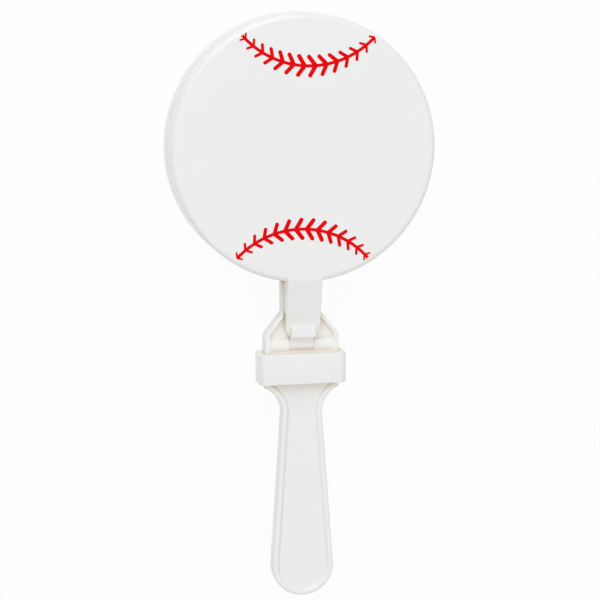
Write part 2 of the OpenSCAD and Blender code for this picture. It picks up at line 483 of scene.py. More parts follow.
@dataclass(frozen=True)
class PadPrintInk:
    """Red solvent ink, pad printed on the mouldings."""

    # A flat, strong red that lies a few hundredths of a millimetre high, a little thinner in
    # places where the pad lifted, with a satin skin.
    full: str = "#F00006"
    thin: str = "#F00810"
    patch_mm: float = 2.2
    patch_from: float = 0.45
    patch_to: float = 0.75
    grain_mm: float = 0.45
    grain_rise_mm: float = 0.03
    grain_share: float = 0.15
    roughness: tuple[float, float] = (0.38, 0.5)
    shine: float = 0.05

    def material(self) -> bpy.types.Material:
        """Builds the material.

        Returns:
            The material of both prints.
        """
        made = bpy.data.materials.new("pad_printed_red_ink")
        tree = emptied_tree(made)
        place = add(tree, "ShaderNodeTexCoord").outputs["Object"]
        patch = add(tree, "ShaderNodeTexNoise", {"Vector": place, "Detail": 4.0,
                                                 "Scale": 1 / (self.patch_mm * MM)})
        thin = add(tree, "ShaderNodeMapRange", {"Value": patch.outputs["Fac"],
                                                "From Min": self.patch_from, "From Max": self.patch_to})
        tint = add(tree, "ShaderNodeMix", {0: thin.outputs["Result"], 6: linear(self.full),
                                           7: linear(self.thin)}, data_type="RGBA")
        grain = add(tree, "ShaderNodeTexNoise", {"Vector": place, "Detail": 2.0,
                                                 "Scale": 1 / (self.grain_mm * MM)})
        skin = add(tree, "ShaderNodeBump", {"Height": grain.outputs["Fac"], "Strength": self.grain_share,
                                            "Distance": self.grain_rise_mm * MM})
        rough = add(tree, "ShaderNodeMapRange", {"Value": grain.outputs["Fac"],
                                                 "To Min": self.roughness[0], "To Max": self.roughness[1]})
        ink = add(tree, "ShaderNodeBsdfPrincipled", {"Base Color": tint.outputs[2],
                                                     "Specular IOR Level": self.shine,
                                                     "Roughness": rough.outputs["Result"],
                                                     "Normal": skin.outputs["Normal"]})
        add(tree, "ShaderNodeOutputMaterial", {"Surface": ink.outputs["BSDF"]})
        return made


@dataclass(frozen=True)
class Layout:
    """Sizes and places that several sub-assemblies share."""

    paddle_r: float = 47.5
    stack: float = 19.0
    edge_r: float = 1.6
    edge_run: float = 2.2
    face_t: float = 2.2
    hinge_y: float = -71.1
    hinge_z: float = 9.5
    pin_r: float = 1.8
    hook_r: float = 2.9
    body_back: float = 6.5
    body_front: float = 12.5
    yoke_half: float = 13.55
    lap_y: float = -76.8
    tongue_y: float = -84.54
    lap_gap: float = 0.1
    collar_top: float = -74.04
    collar_bottom: float = -85.14

    @property
    def hinge(self) -> Point:
        """Hinge's axis as (y, z)."""
        return self.hinge_y, self.hinge_z

    @property
    def crest_z(self) -> float:
        """Height of the top of the hook and of the bars beside it."""
        return self.hinge_z + self.hook_r

    def turned_over(self) -> Matrix:
        """Turn that takes the rear paddle's place to the front paddle's."""
        return Matrix.Translation((0, 0, self.stack)) @ Matrix.Rotation(math.pi, 4, "Y")


@dataclass
class PaddleShell:
    """Round hollow shell of one paddle, with its face down."""

    layout: Layout
    depth: float = 9.42
    skirt_t: float = 2.2
    rim_r: float = 0.12
    fillet_r: float = 0.9
    # Rings that keep the faces of the flat stretches short.
    face_rings: tuple[float, float] = (20.0, 40.0)
    floor_ring: float = 30.0
    edge_steps: int = 16
    rim_steps: int = 4
    fillet_steps: int = 6
    turn_steps: int = 256

    def solid(self) -> Solid:
        """Turns the shell's profile.

        Returns:
            The shell, face down at z = 0.
        """
        outer, edge, run = self.layout.paddle_r, self.layout.edge_r, self.layout.edge_run
        inner, face = outer - self.skirt_t, self.layout.face_t
        rim, fillet = self.depth - self.rim_r, self.fillet_r
        # The face's edge falls off slowly at first, so it is a flat ellipse and no plain quarter round.
        soft = [(outer - run + run * x, edge + edge * z)
                for x, z in arc((0.0, 0.0), 1.0, -90, 0, self.edge_steps)]
        profile = [(0.0, 0.0), *[(r, 0.0) for r in self.face_rings], *soft,
                   *arc((outer - self.rim_r, rim), self.rim_r, 0, 90, self.rim_steps),
                   *arc((inner + self.rim_r, rim), self.rim_r, 90, 180, self.rim_steps),
                   *arc((inner - fillet, face + fillet), fillet, 0, -90, self.fillet_steps),
                   (self.floor_ring, face), (0.0, face)]
        return Solid.lathe(profile, self.turn_steps)


@dataclass
class FrontPaddle:
    """Paddle that swings: shell, hollow sloping stem, snap hook and stop lug."""

    layout: Layout
    stem_w: float = 12.6
    stem_t: float = 2.2
    wall_t: float = 1.8
    under_z: float = 11.0
    root_in: float = 1.54
    # The stem's front comes out of the face at a grazing angle, so that the two read as one surface:
    # points above the root and over the face.
    graze: tuple[Point, ...] = ((5.0, -0.02), (2.0, 0.0), (-0.6, 0.004))
    bend_out: float = 0.6
    bend_drop: float = 0.3
    # Distances from the bend and from the lug to the ends of the hollow behind the stem's front.
    hollow_top: float = 0.5
    hollow_end: float = 1.2
    # The stem narrows to the hook by a soft corner.
    corner_up: float = 6.6
    corner_l: float = 3.0
    corner_steps: int = 12
    hook_w: float = 8.8
    bore_r: float = 1.9
    # Corners of the hook's mouth as (angle, reach) from the hinge's axis.
    mouth: tuple[Point, ...] = ((150.0, 5.0), (190.0, 6.0), (235.0, 6.0), (275.0, 5.0))
    lug_up: float = 3.0
    lug_w: float = 9.0
    lug_h: float = 4.0
    # Heights of the stem's front over the hinge's axis, and of the lug over the stem's front.
    rise: float = 3.9
    lug_rise: float = 2.1
    lug_slope: float = 0.3
    # Cells and passes of the softening.
    voxel: float = 0.2
    passes: int = 12

    @property
    def root_y(self) -> float:
        """Where the stem starts, inside the shell's rim."""
        return self.root_in - self.layout.paddle_r

    @property
    def bend(self) -> Point:
        """Bend from the face to the slope as (y, z)."""
        return -(self.layout.paddle_r + self.bend_out), self.layout.stack - self.bend_drop

    @property
    def foot(self) -> Point:
        """End of the slope at the lug's foot as (y, z)."""
        return self.layout.hinge_y + self.lug_up, self.layout.hinge_z + self.rise

    def side(self) -> list[Point]:
        """Draws the stem from the side, deeper than it is, because its underside is cut flat later.

        Returns:
            Its outline as (y, z).
        """
        at = self.layout
        deep, inside = self.under_z - PAST, at.stack - PAST
        front = [(self.root_y + y, at.stack + z) for y, z in self.graze]
        return [*front, self.bend, self.foot, (self.foot[0], at.crest_z), (at.hinge_y, at.crest_z),
                (at.hinge_y, deep), (self.root_y, deep), (self.root_y, inside), (front[0][0], inside)]

    def plan(self) -> list[Point]:
        """Draws the stem from the front.

        Returns:
            Its outline as (x, y).
        """
        half, hook = self.stem_w / 2, self.hook_w / 2
        top = self.root_y + self.graze[0][0] + PAST
        corner_y = self.layout.hinge_y + self.corner_up
        corner = [(hook + (half - hook) * x, corner_y - self.corner_l * y)
                  for x, y in arc((0.0, 0.0), 1.0, 0, 90, self.corner_steps)]
        return both_sides([(half, top), *corner, (hook, self.layout.hinge_y - PAST)])

    def hollow(self) -> list[Point]:
        """Draws the hollow behind the stem's front, from the side.

        Returns:
            Its outline as (y, z).
        """
        bend_y, bend_z = self.bend
        foot_y, foot_z = self.foot
        start, end = bend_y - self.hollow_top, foot_y + self.lug_h + self.hollow_end
        roof, deep = bend_z - self.stem_t, self.under_z - 2 * PAST
        fall = (bend_z - foot_z) * (bend_y - end) / (bend_y - foot_y)
        return [(start, roof), (end, roof - fall), (end, deep), (start, deep)]

    def lug(self) -> list[Point]:
        """Draws the stop lug from the side.

        Returns:
            Its outline as (y, z).
        """
        low, base = self.foot
        high, crest, inside = low + self.lug_h, base + self.lug_rise, base - PAST
        sloped = high + self.lug_slope
        return [(sloped, base), (high, crest), (low, crest), (low, inside), (sloped, inside)]

    def stem(self) -> Solid:
        """Builds the stem with its hook and lug.

        Returns:
            The softened solid.
        """
        at, half, hook = self.layout, self.stem_w / 2, self.hook_w / 2
        under = rectangle((at.hinge_y - PAST, self.under_z - 2 * PAST), (self.root_y + PAST, self.under_z))
        mouth = [at.hinge] + [arc(at.hinge, reach, turn, turn, 1)[0] for turn, reach in self.mouth]
        return (Solid.across(self.side(), half + PAST)
                .common(Solid.prism(self.plan(), 0, at.stack + PAST, Along.Z))
                .cut(Solid.across(self.hollow(), half - self.wall_t))
                .join(Solid.across(self.lug(), self.lug_w / 2))
                .mould(self.voxel, self.passes)
                .cut(Solid.across(under, half + PAST))
                .join(Solid.across(circle(at.hinge, at.hook_r), hook))
                .cut(Solid.across(circle(at.hinge, self.bore_r), hook + PAST))
                .cut(Solid.across(mouth, hook + PAST)))

    def build(self, plastic: bpy.types.Material) -> None:
        """Makes the paddle and dresses it."""
        whole = PaddleShell(self.layout).solid().placed(self.layout.turned_over()).join(self.stem())
        piece(whole.mesh, "swinging_paddle", plastic, Body.SWING, Slot.PLASTIC, "front_paddle")


@dataclass
class RearPaddle:
    """Paddle that is fixed: shell, neck, and yoke with its root in the collar."""

    layout: Layout
    neck_half: float = 7.2
    path_half: float = 6.7
    neck_z: float = 9.3
    skirt_in: float = 1.32
    skirt_out: float = 0.7
    pocket_z: float = 10.9
    shoulder_y: float = -67.4
    apex_y: float = -59.3
    post_w: float = 2.1
    shoulder_w: float = 1.5
    slot_half: float = 4.45
    sweep_up: float = 3.2
    hook_gap: float = 0.05
    pin_gap: float = 0.02
    # Angles about the hinge's axis between which the yoke cradles the hook.
    cradle: tuple[float, float] = (130.0, 225.0)
    cradle_steps: int = 24
    # The bars run out softly to the sleeve, and a lip of the same height closes the slot under the hook:
    # points below the hinge's axis and under the bars' top, then the drop at the sleeve.
    run_out: tuple[Point, ...] = ((0.0, 0.0), (1.2, 0.12), (2.2, 0.35))
    sleeve_drop: float = 0.75
    tuck: float = 0.3
    # Cells and passes of the softening.
    voxel: float = 0.25
    passes: int = 14

    @property
    def clear_y(self) -> float:
        """Where the neck is clear of the front paddle's rim."""
        return -(self.layout.paddle_r + self.skirt_out)

    @property
    def swept_y(self) -> float:
        """Upper end of the room that the hook sweeps."""
        return self.layout.hinge_y + self.sweep_up

    @property
    def inner(self) -> float:
        """Half of the width between the posts."""
        return self.layout.yoke_half - self.post_w

    def beam(self) -> list[Point]:
        """Draws the neck from the side.

        Returns:
            Its outline as (y, z).
        """
        back, foot = self.layout.body_back, self.apex_y - TOUCH
        skirt = self.skirt_in - self.layout.paddle_r
        return [(skirt, back), (skirt, self.neck_z), (self.clear_y, self.neck_z),
                (self.clear_y, self.pocket_z), (foot, self.pocket_z), (foot, back)]

    def house(self) -> list[Point]:
        """Draws the yoke from the front."""
        wide = self.layout.yoke_half
        return both_sides([(self.neck_half, self.apex_y), (wide, self.shoulder_y), (wide, self.layout.lap_y)])

    def recess(self) -> list[Point]:
        """Draws the recess between the posts and shoulders, from the front.

        Returns:
            Its outline as (x, y).
        """
        neck = self.neck_half
        slope = (self.apex_y - self.shoulder_y) / (self.layout.yoke_half - neck)
        lip = self.apex_y - self.shoulder_w * math.hypot(1, slope)
        under_lip = [(x, lip - (x - neck) * slope) for x in (self.inner, self.path_half)]
        return both_sides([(self.inner, self.layout.collar_top), *under_lip])

    def slot(self) -> list[Point]:
        """Draws the hook's room, which runs right through the yoke, from the side.

        Returns:
            Its outline as (y, z).
        """
        at = self.layout
        over, behind = at.body_front + PAST, at.body_back - PAST
        cradle = arc(at.hinge, at.hook_r + self.hook_gap, *self.cradle, self.cradle_steps)
        return [(cradle[-1][0], behind), (self.swept_y, behind), (self.swept_y, over), (cradle[0][0], over),
                *cradle]

    def skirting(self) -> list[Point]:
        """Draws the bars' run-out to the sleeve, from the side.

        Returns:
            Its outline as (y, z).
        """
        at = self.layout
        tucked = at.collar_top - self.tuck
        return [*[(at.hinge_y - y, at.crest_z - z) for y, z in self.run_out],
                (tucked, at.crest_z - self.sleeve_drop), (tucked, at.hinge_z), at.hinge]

    def yoke(self) -> Solid:
        """Builds the neck and the yoke.

        Returns:
            The softened solid.
        """
        at, wide, bars = self.layout, self.layout.yoke_half, self.inner + BITE
        over = at.body_front + PAST
        root = rectangle((at.tongue_y + at.lap_gap, at.hinge_z), (at.lap_y + BITE, at.body_front))
        path = rectangle((self.swept_y, self.pocket_z), (self.clear_y, over))
        return (Solid.prism(self.house(), at.body_back, at.body_front, Along.Z)
                .join(Solid.across(self.beam(), self.neck_half))
                .join(Solid.across(root, wide))
                .cut(Solid.prism(self.recess(), self.pocket_z, over, Along.Z))
                .cut(Solid.across(path, self.path_half))
                .join(Solid.across(circle(at.hinge, at.hook_r), bars))
                .join(Solid.across(self.skirting(), bars))
                .mould(self.voxel, self.passes)
                .cut(Solid.across(self.slot(), self.slot_half))
                .cut(Solid.across(circle(at.hinge, at.pin_r + self.pin_gap), wide + PAST)))

    def build(self, plastic: bpy.types.Material) -> None:
        """Makes the paddle and dresses it, and the pin in its yoke.

        Args:
            plastic: Material of both.
        """
        whole = PaddleShell(self.layout).solid().join(self.yoke())
        piece(whole.mesh, "fixed_paddle", plastic, Body.FIXED, Slot.PLASTIC, "rear_paddle")
        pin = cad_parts["hinge_pin"]
        pin.data.materials.clear()
        pin.data.materials.append(plastic)
        LOG.info("node hinge_pin keeps its shape and takes the plastic")


@dataclass
class Collar:
    """Sleeve that binds the yoke's root and the handle's tongue."""

    layout: Layout
    side_t: float = 2.3
    face_t: float = 2.9
    corner_r: float = 2.7
    inner_r: float = 0.2
    rim_r: float = 0.4
    fit: float = 0.05
    corner_steps: int = 6
    rim_steps: int = 5

    def loop(self, half_w: float, half_h: float, radius: float, y: float) -> list[Vector]:
        """Rounded rectangle about the sleeve's axis.

        Args:
            half_w: Half of its width.
            half_h: Half of its height.
            radius: Rounding of its corners.
            y: Where it lies along the sleeve.

        Returns:
            Its points.
        """
        flat = []
        for turn, x, z in ((0, 1, 1), (90, -1, 1), (180, -1, -1), (270, 1, -1)):
            centre = (x * (half_w - radius), z * (half_h - radius))
            flat += arc(centre, radius, turn, turn + 90, self.corner_steps)
        return [Vector((x, y, self.layout.hinge_z + z)) for x, z in flat]

    def build(self, plastic: bpy.types.Material) -> None:
        """Makes the sleeve and dresses it.

        Args:
            plastic: Material of the sleeve.
        """
        at, soft = self.layout, self.rim_r
        in_w, in_h = at.yoke_half + self.fit, (at.body_front - at.body_back) / 2 + self.fit
        out_w, out_h = in_w + self.side_t, in_h + self.face_t
        # The rim's rounding as (inset, distance from the sleeve's end).
        rim = arc((soft, soft), soft, 270, 180, self.rim_steps)
        loops = []
        for y, way in ((at.collar_top, -1), (at.collar_bottom, 1)):
            half = [self.loop(in_w, in_h, self.inner_r, y)]
            half += [self.loop(out_w - s, out_h - s, self.corner_r - s, y + way * d) for s, d in rim]
            loops += half if way < 0 else half[::-1]
        piece(Solid.sweep(loops).mesh, "binding_sleeve", plastic, Body.FIXED, Slot.PLASTIC, "collar")


@dataclass
class Grip:
    """Flat handle with a raised soft border on both faces, and its tongue in the sleeve."""

    layout: Layout
    neck_w: float = 14.6
    end_d: float = 22.6
    end_y: float = -153.24
    flare_r: float = 10.0
    flare_y: float = -96.14
    edge_r: float = 0.9
    crest_w: float = 1.5
    slope_w: float = 1.2
    panel_depth: float = 0.8
    panel_rim: float = 0.5
    stud_d: float = 5.0
    end_turn: float = 88.0
    edge_steps: int = 6
    fall_steps: int = 8
    flare_steps: int = 16
    side_steps: int = 12
    end_steps: int = 22
    stud_points: int = 36

    def ring(self, inset: float) -> list[Point]:
        """Outline from the sleeve down the right side, round the end and up the left.

        Args:
            inset: Distance that it is drawn in by.

        Returns:
            Its points (x, y), the same number for every inset.
        """
        neck, end, top = self.neck_w / 2, self.end_d / 2 - inset, self.layout.tongue_y
        middle, radius = neck + self.flare_r, self.flare_r + inset
        side = self.layout.yoke_half - inset
        # The flare ends at the tongue's width or at the sleeve, whichever it reaches first.
        at_width = math.acos(min(1.0, (middle - side) / radius))
        at_sleeve = math.asin(min(1.0, (top - self.flare_y) / radius))
        meet = math.degrees(min(at_width, at_sleeve))
        flare = arc((middle, self.flare_y), radius, 180 - meet, 180, self.flare_steps)
        widens, falls, start = end - neck + inset, self.end_y - self.flare_y, neck - inset
        shares = [i / self.side_steps for i in range(1, self.side_steps)]
        straight = [(start + widens * s, self.flare_y + falls * s) for s in shares]
        # The round end stops just short of its lowest point, which both sides share.
        end_arc = arc((0.0, self.end_y), end, 0, -self.end_turn, self.end_steps)
        right = [(flare[0][0], top), *flare, *straight, *end_arc]
        return right + [(0.0, self.end_y - end)] + [(-x, y) for x, y in reversed(right)]

    def section(self) -> list[Point]:
        """Draws the profile of the border, from the side to the panel.

        Returns:
            Its points as (inset, height over the middle plane).
        """
        half = (self.layout.body_front - self.layout.body_back) / 2
        turned = arc((self.edge_r, half - self.edge_r), self.edge_r, 180, 90, self.edge_steps)
        shares = [i / self.fall_steps for i in range(1, self.fall_steps + 1)]
        falls = [(self.crest_w + self.slope_w * s, half - self.panel_depth * s * s * (3 - 2 * s))
                 for s in shares]
        panel = (self.crest_w + self.slope_w + self.panel_rim, half - self.panel_depth)
        return [(0.0, 0.0), *turned, (self.crest_w, half), *falls, panel]

    def solid(self) -> Solid:
        """Builds the grip.

        Returns:
            The grip up to the sleeve, closed.
        """
        bm = bmesh.new()
        levels = [(s, -h) for s, h in reversed(self.section()[1:])] + self.section()
        rings = [[bm.verts.new((x, y, self.layout.hinge_z + h)) for x, y in self.ring(s)] for s, h in levels]
        for one, two in zip(rings, rings[1:]):
            for i in range(len(one) - 1):
                bm.faces.new((one[i], one[i + 1], two[i + 1], two[i]))
        bm.faces.new(rings[0])
        bm.faces.new(rings[-1])
        bm.faces.new([r[0] for r in rings] + [r[-1] for r in reversed(rings)])
        return Solid(bm)

    def build(self, plastic: bpy.types.Material) -> None:
        """Makes the handle and dresses it.

        Args:
            plastic: Material of the handle.
        """
        at, wide = self.layout, self.layout.yoke_half
        tongue = rectangle((-wide, at.tongue_y - TOUCH), (wide, at.lap_y - at.lap_gap))
        stud = circle((0.0, (at.lap_y + at.tongue_y) / 2), self.stud_d / 2, self.stud_points)
        whole = (self.solid().beside(Solid.prism(tongue, at.body_back, at.hinge_z, Along.Z))
                 .beside(Solid.prism(stud, at.hinge_z - PAST, at.body_front - at.lap_gap, Along.Z)))
        piece(whole.mesh, "grip", plastic, Body.FIXED, Slot.PLASTIC, "handle")


def opened_tree(name: str, sizes: dict[str, object]) -> tuple[bpy.types.NodeTree, bpy.types.NodeOutputs]:
    """Starts a geometry tree with a named input for each size.

    Args:
        name: Name of the tree.
        sizes: Input's name to a whole number, a number or a vector.

    Returns:
        The tree, and the sockets that give its inputs.
    """
    kinds = {int: "NodeSocketInt", float: "NodeSocketFloat", tuple: "NodeSocketVector"}
    tree = bpy.data.node_groups.new(name, "GeometryNodeTree")
    tree.interface.new_socket("Geometry", in_out="OUTPUT", socket_type="NodeSocketGeometry")
    for key, value in sizes.items():
        tree.interface.new_socket(key, in_out="INPUT", socket_type=kinds[type(value)]).default_value = value
    return tree, add(tree, "NodeGroupInput").outputs


def grown_mesh(tree: bpy.types.NodeTree) -> bpy.types.Mesh:
    """Runs a geometry tree on an empty carrier.

    Args:
        tree: Tree whose inputs keep the values that it was built with.

    Returns:
        The result as a plain mesh.
    """
    carrier = linked("carrier", bpy.data.meshes.new("carrier"))
    modifier = carrier.modifiers.new("grow", "NODES")
    modifier.node_group = tree
    for item in tree.interface.items_tree:
        if item.in_out == "INPUT":
            value = item.default_value
            modifier[item.identifier] = value if isinstance(value, (int, float)) else tuple(value)
    graph = bpy.context.evaluated_depsgraph_get()
    mesh = bpy.data.meshes.new_from_object(carrier.evaluated_get(graph))
    carrier.modifiers.remove(modifier)
    bpy.data.objects.remove(carrier)
    return mesh


@dataclass
class SeamPrint:
    """Two curved seams of one paddle's print, each a line with chevron stitches."""

    layout: Layout
    count: int = 14
    curve_r: float = 32.3
    centre_y: float = 61.04
    half_sweep: float = 47.0
    arm_l: float = 3.9
    arm_w: float = 1.6
    arm_turn: float = 56.0
    line_w: float = 1.15
    tail: float = 3.0
    end_size: float = 0.46
    end_width: float = 0.62
    ink: float = 0.02
    # The line and the right arms lie lower than the left arms, so that no two skins of ink coincide.
    line_layer: float = 0.8
    right_layer: float = 0.85
    turn: float = -1.8
    shift: Point = (0.3, 0.4)
    curve_steps: int = 120
    arm_sides: int = 20
    arm_cuts: int = 2

    def sizes(self) -> dict[str, object]:
        """Works out the tree's inputs.

        Returns:
            Input's name to a number, an angle in radians or a vector.
        """
        at, turn, tail = self.layout, math.radians(self.turn), math.radians(self.tail)
        start, sweep = math.radians(-90 - self.half_sweep), math.radians(2 * self.half_sweep)
        bearing = math.radians(180 - self.arm_turn)
        return {"Stitches": self.count, "Curve Radius": self.curve_r,
                "Curve Centre": (0.0, self.centre_y, 0.0), "Line Start": start, "Line Sweep": sweep,
                "Line Width": self.line_w, "Line Height": 2 * self.line_layer * self.ink,
                "Stitch Start": start + tail, "Stitch Sweep": sweep - tail,
                "End Size": self.end_size, "End Width": self.end_width,
                "Arm Radius": self.arm_w / 2, "Arm Height": 2 * self.ink,
                "Arm Reach": (self.arm_l, 0.0, 0.0), "Right Layer": (1.0, 1.0, self.right_layer),
                "Left Arm": (0.0, 0.0, bearing), "Right Arm": (0.0, 0.0, -bearing),
                "Upper Turn": (0.0, 0.0, turn), "Lower Turn": (0.0, 0.0, turn + math.pi),
                "Print Shift": (*self.shift, 0.0), "Flat Radius": at.paddle_r - at.edge_run,
                "Outer Radius": at.paddle_r, "Edge Drop": -at.edge_r}

    def tree(self, red: bpy.types.Material) -> bpy.types.NodeTree:
        """Builds the nodes that draw both seams on the plane z = 0.

        Args:
            red: Material of the ink.

        Returns:
            The tree, with a named input for each size.
        """
        tree, size = opened_tree("stitched_seams", self.sizes())
        place = add(tree, "GeometryNodeInputPosition").outputs[0]
        share = add(tree, "GeometryNodeSplineParameter").outputs["Factor"]
        rounds = add(tree, "ShaderNodeMath", {0: share, 1: math.pi}, operation="MULTIPLY")
        hump = add(tree, "ShaderNodeMath", {0: rounds.outputs[0]}, operation="SINE")
        # The line and the chevrons on it grow from the seam's ends to its middle.
        swell = add(tree, "ShaderNodeMapRange", {"Value": hump.outputs[0], "To Max": 1.0,
                                                 "To Min": size["End Width"]})
        grown = add(tree, "ShaderNodeMapRange", {"Value": hump.outputs[0], "To Max": 1.0,
                                                 "To Min": size["End Size"]})
        path = add(tree, "GeometryNodeCurveArc", {"Resolution": self.curve_steps,
                                                  "Radius": size["Curve Radius"],
                                                  "Start Angle": size["Line Start"],
                                                  "Sweep Angle": size["Line Sweep"]})
        drawn = add(tree, "GeometryNodeSetCurveRadius", {"Curve": path.outputs["Curve"],
                                                         "Radius": swell.outputs[0]})
        strip = add(tree, "GeometryNodeCurvePrimitiveQuadrilateral", {"Width": size["Line Width"],
                                                                      "Height": size["Line Height"]})
        line = add(tree, "GeometryNodeCurveToMesh", {"Curve": drawn.outputs["Curve"], "Fill Caps": True,
                                                     "Profile Curve": strip.outputs["Curve"]})
        # An arm is a flat disc of ink whose far half is drawn out, cut small enough to bend over the edge.
        disc = add(tree, "GeometryNodeMeshCylinder", {"Vertices": self.arm_sides,
                                                      "Radius": size["Arm Radius"],
                                                      "Depth": size["Arm Height"]})
        spot = add(tree, "ShaderNodeSeparateXYZ", {0: place})
        far = add(tree, "FunctionNodeCompare", {0: spot.outputs["X"], 1: WELD}, operation="GREATER_THAN")
        long = add(tree, "GeometryNodeSetPosition", {"Geometry": disc.outputs["Mesh"],
                                                     "Selection": far.outputs[0],
                                                     "Offset": size["Arm Reach"]})
        arm = add(tree, "GeometryNodeSubdivideMesh", {"Mesh": long.outputs[0], "Level": self.arm_cuts})
        chevron = add(tree, "GeometryNodeJoinGeometry")
        for name, layer in (("Left Arm", (1.0, 1.0, 1.0)), ("Right Arm", size["Right Layer"])):
            turned = add(tree, "GeometryNodeTransform", {"Geometry": arm.outputs[0], "Rotation": size[name],
                                                         "Scale": layer})
            tree.links.new(turned.outputs[0], chevron.inputs[0])
        row = add(tree, "GeometryNodeCurveArc", {"Resolution": self.curve_steps,
                                                 "Radius": size["Curve Radius"],
                                                 "Start Angle": size["Stitch Start"],
                                                 "Sweep Angle": size["Stitch Sweep"]})
        points = add(tree, "GeometryNodeResampleCurve", {"Curve": row.outputs["Curve"],
                                                         "Count": size["Stitches"]})
        scale = add(tree, "ShaderNodeCombineXYZ", {0: grown.outputs[0], 1: grown.outputs[0], 2: 1.0})
        along = add(tree, "GeometryNodeInputTangent").outputs[0]
        faced = add(tree, "FunctionNodeAlignRotationToVector", {"Vector": along}, axis="X", pivot_axis="Z")
        stitches = add(tree, "GeometryNodeInstanceOnPoints", {"Points": points.outputs["Curve"],
                                                              "Scale": scale.outputs[0],
                                                              "Instance": chevron.outputs[0],
                                                              "Rotation": faced.outputs[0]})
        sewn = add(tree, "GeometryNodeRealizeInstances", {"Geometry": stitches.outputs[0]})
        seam = add(tree, "GeometryNodeJoinGeometry")
        for one in (line, sewn):
            tree.links.new(one.outputs[0], seam.inputs[0])
        raised = add(tree, "GeometryNodeTransform", {"Geometry": seam.outputs[0],
                                                     "Translation": size["Curve Centre"]})
        both = add(tree, "GeometryNodeJoinGeometry")
        for name in ("Upper Turn", "Lower Turn"):
            turned = add(tree, "GeometryNodeTransform", {"Geometry": raised.outputs[0],
                                                         "Rotation": size[name],
                                                         "Translation": size["Print Shift"]})
            tree.links.new(turned.outputs[0], both.inputs[0])
        # The ends of the seams run over the paddle's rounded edge and follow it down.
        level = add(tree, "ShaderNodeVectorMath", {0: place, 1: (1.0, 1.0, 0.0)}, operation="MULTIPLY")
        reach = add(tree, "ShaderNodeVectorMath", {0: level.outputs[0]}, operation="LENGTH")
        over = add(tree, "ShaderNodeMapRange", {"Value": reach.outputs["Value"],
                                                "From Min": size["Flat Radius"],
                                                "From Max": size["Outer Radius"]})
        square = add(tree, "ShaderNodeMath", {0: over.outputs[0], 1: 2.0}, operation="POWER")
        rest = add(tree, "ShaderNodeMath", {0: 1.0, 1: square.outputs[0]}, operation="SUBTRACT")
        high = add(tree, "ShaderNodeMath", {0: rest.outputs[0]}, operation="SQRT")
        drop = add(tree, "ShaderNodeMapRange", {"Value": high.outputs[0], "To Max": 0.0,
                                                "To Min": size["Edge Drop"]})
        down = add(tree, "ShaderNodeCombineXYZ", {2: drop.outputs[0]})
        laid = add(tree, "GeometryNodeSetPosition", {"Geometry": both.outputs[0], "Offset": down.outputs[0]})
        whole = add(tree, "GeometryNodeRealizeInstances", {"Geometry": laid.outputs[0]})
        inked = add(tree, "GeometryNodeSetMaterial", {"Geometry": whole.outputs[0], "Material": red})
        add(tree, "NodeGroupOutput", {0: inked.outputs[0]})
        return tree

    def build(self, red: bpy.types.Material) -> None:
        """Prints both paddles.

        Args:
            red: Material of the ink.
        """
        tree = self.tree(red)
        level = Matrix.Translation((0, 0, self.layout.stack))
        over = self.layout.turned_over() @ level
        for side, place, body in (("front", level, Body.SWING), ("rear", over, Body.FIXED)):
            mesh = grown_mesh(tree)
            mesh.transform(place)
            piece(mesh, f"{side}_stitching", red, body, Slot.PRINT,
                  f"{side}_seam_upper", f"{side}_seam_lower")


@dataclass
class EjectorMarks:
    """Shallow round marks that the tool's ejector pins leave inside each shell."""

    layout: Layout
    count: int = 6
    ring_r: float = 34.0
    mark_d: float = 5.0
    mark_sides: int = 32
    rise: float = 0.12

    def tree(self, plastic: bpy.types.Material) -> bpy.types.NodeTree:
        """Builds the nodes that lay the marks in a ring on the plane z = 0.

        Args:
            plastic: Material of the marks.

        Returns:
            The tree, with a named input for each size.
        """
        tree, size = opened_tree("ejector_marks", {"Marks": self.count, "Ring Radius": self.ring_r,
                                                   "Mark Radius": self.mark_d / 2,
                                                   "Mark Height": 2 * self.rise,
                                                   "Sink": (0.0, 0.0, -self.rise)})
        ring = add(tree, "GeometryNodeMeshCircle", {"Vertices": size["Marks"], "Radius": size["Ring Radius"]})
        disc = add(tree, "GeometryNodeMeshCone", {"Vertices": self.mark_sides,
                                                  "Radius Bottom": size["Mark Radius"],
                                                  "Radius Top": size["Mark Radius"],
                                                  "Depth": size["Mark Height"]})
        low = add(tree, "GeometryNodeTransform", {"Geometry": disc.outputs["Mesh"],
                                                  "Translation": size["Sink"]})
        laid = add(tree, "GeometryNodeInstanceOnPoints", {"Points": ring.outputs[0],
                                                          "Instance": low.outputs[0]})
        whole = add(tree, "GeometryNodeRealizeInstances", {"Geometry": laid.outputs[0]})
        dressed = add(tree, "GeometryNodeSetMaterial", {"Geometry": whole.outputs[0], "Material": plastic})
        add(tree, "NodeGroupOutput", {0: dressed.outputs[0]})
        return tree

    def build(self, plastic: bpy.types.Material) -> None:
        """Marks both shells.

        Args:
            plastic: Material of the marks.
        """
        tree = self.tree(plastic)
        level = Matrix.Translation((0, 0, self.layout.face_t))
        over = self.layout.turned_over() @ level
        for side, place, body in (("rear", level, Body.FIXED), ("front", over, Body.SWING)):
            mesh = grown_mesh(tree)
            mesh.transform(place)
            piece(mesh, f"{side}_ejector_marks", plastic, body, Slot.PLASTIC)


def background_rays(tree: bpy.types.NodeTree) -> bpy.types.NodeSocket:
    """Tells the rays that show the background from those that light the clapper.

    Args:
        tree: Tree that asks.

    Returns:
        An output that is 1 for rays that show the background.
    """
    ray = add(tree, "ShaderNodeLightPath").outputs
    shown = ray["Is Camera Ray"]
    for kind in ("Is Glossy Ray", "Is Transmission Ray"):
        shown = add(tree, "ShaderNodeMath", {0: shown, 1: ray[kind]}, operation="MAXIMUM").outputs[0]
    return shown


